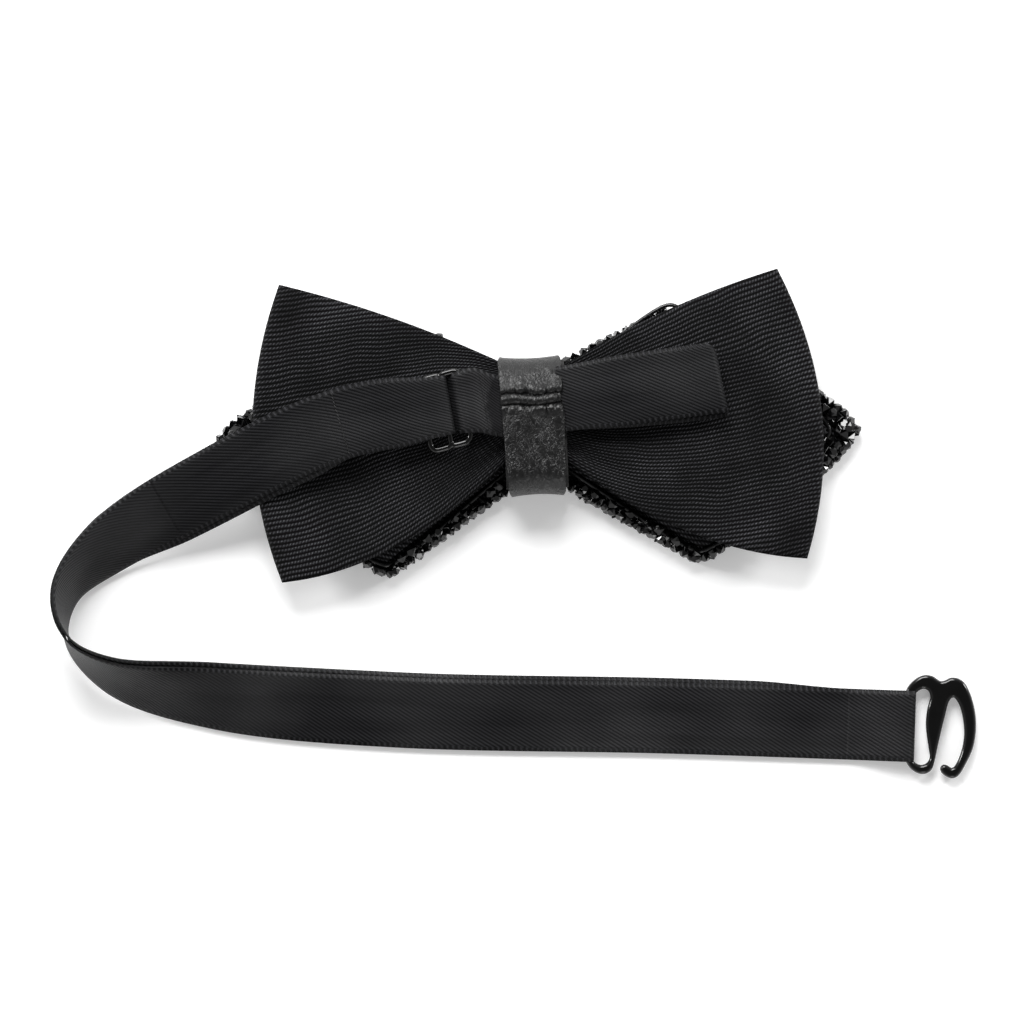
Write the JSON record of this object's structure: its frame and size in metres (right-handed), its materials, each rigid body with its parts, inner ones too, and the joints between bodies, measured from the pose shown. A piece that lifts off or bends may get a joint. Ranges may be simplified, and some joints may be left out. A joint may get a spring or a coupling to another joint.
{
  "type": "bow tie",
  "caption": "Pre-tied double-layer bow tie with stone-covered pointed front wings, twill back wings, leather knot and an adjustable neck ribbon with slider and hook.",
  "frame": {"origin": "on the table under the middle of the knot, with the bow lying face down", "axes": "+X along the bow's long axis away from the neck ribbon's slider, +Y up the bow's height, +Z out of the bow's back"},
  "size_m": [0.1823, 0.1034, 0.016],
  "materials": {
    "twill_cloth": "matt black twill weave",
    "satin_ribbon": "black satin ribbon with a woven edge",
    "interlining_canvas": "stiff woven interlining",
    "sewing_thread": "black sewing thread",
    "knot_leather": "creased semi-gloss black leather",
    "painted_metal": "gloss black paint",
    "black_stones": "faceted black stones"
  },
  "bodies": {
    "bow": {"knot_band": "knot_leather", "knot_core": "twill_cloth", "knot_seam_stitch": "sewing_thread", "stone_sheet_left": "black_stones", "stone_sheet_right": "black_stones", "front_wing_left": "twill_cloth", "front_wing_right": "twill_cloth", "piping_left": "satin_ribbon", "piping_right": "satin_ribbon", "back_wing_left": "twill_cloth", "back_wing_right": "twill_cloth", "interlining_left": "interlining_canvas", "interlining_right": "interlining_canvas", "ribbon_root": "satin_ribbon", "ribbon_tab": "satin_ribbon"},
    "strap_far": {"strap_far_under": "satin_ribbon", "strap_far_upper": "satin_ribbon", "strap_bend_under": "satin_ribbon", "strap_bend_upper": "satin_ribbon"},
    "slider_end": {"slider": "painted_metal", "strap_end_fold": "satin_ribbon", "strap_end_stitch": "sewing_thread"},
    "strap_near": {"strap_near_under": "satin_ribbon", "strap_near_upper": "satin_ribbon", "strap_hook_fold": "satin_ribbon"},
    "hook": {"hook": "painted_metal"},
    "hook_loop": {"hook_loop": "satin_ribbon"}
  },
  "joints": [
    {"name": "strap_lift", "type": "hinge", "parent": "bow", "child": "strap_far", "pos_m": [-0.0095, 0.0049, 0.0118], "axis": [-0.1413, 0.99, 0], "range_deg": [0, 60], "deforming": ["ribbon_tab"]},
    {"name": "strap_open", "type": "hinge", "parent": "strap_far", "child": "strap_near", "pos_m": [-0.0955, -0.035, 0.0075], "axis": [0, 0, -1], "range_deg": [-6, 100], "deforming": ["strap_bend_under", "strap_bend_upper"]},
    {"name": "slider_travel", "type": "slide", "parent": "strap_far", "child": "slider_end", "axis": [-0.99, -0.1413, 0], "range_m": [0, 0.012], "deforming": ["ribbon_tab", "strap_far_under", "strap_far_upper"]},
    {"name": "hook_swing", "type": "hinge", "parent": "strap_near", "child": "hook", "pos_m": [0.072, -0.0631, 0.00165], "axis": [0.0732, 0.9973, 0], "range_deg": [-120, 120]},
    {"name": "hook_loop_lift", "type": "hinge", "parent": "bow", "child": "hook_loop", "pos_m": [0.0075, 0.005, 0.0121], "axis": [0.0976, -0.9952, 0], "range_deg": [0, 50]}
  ]
}
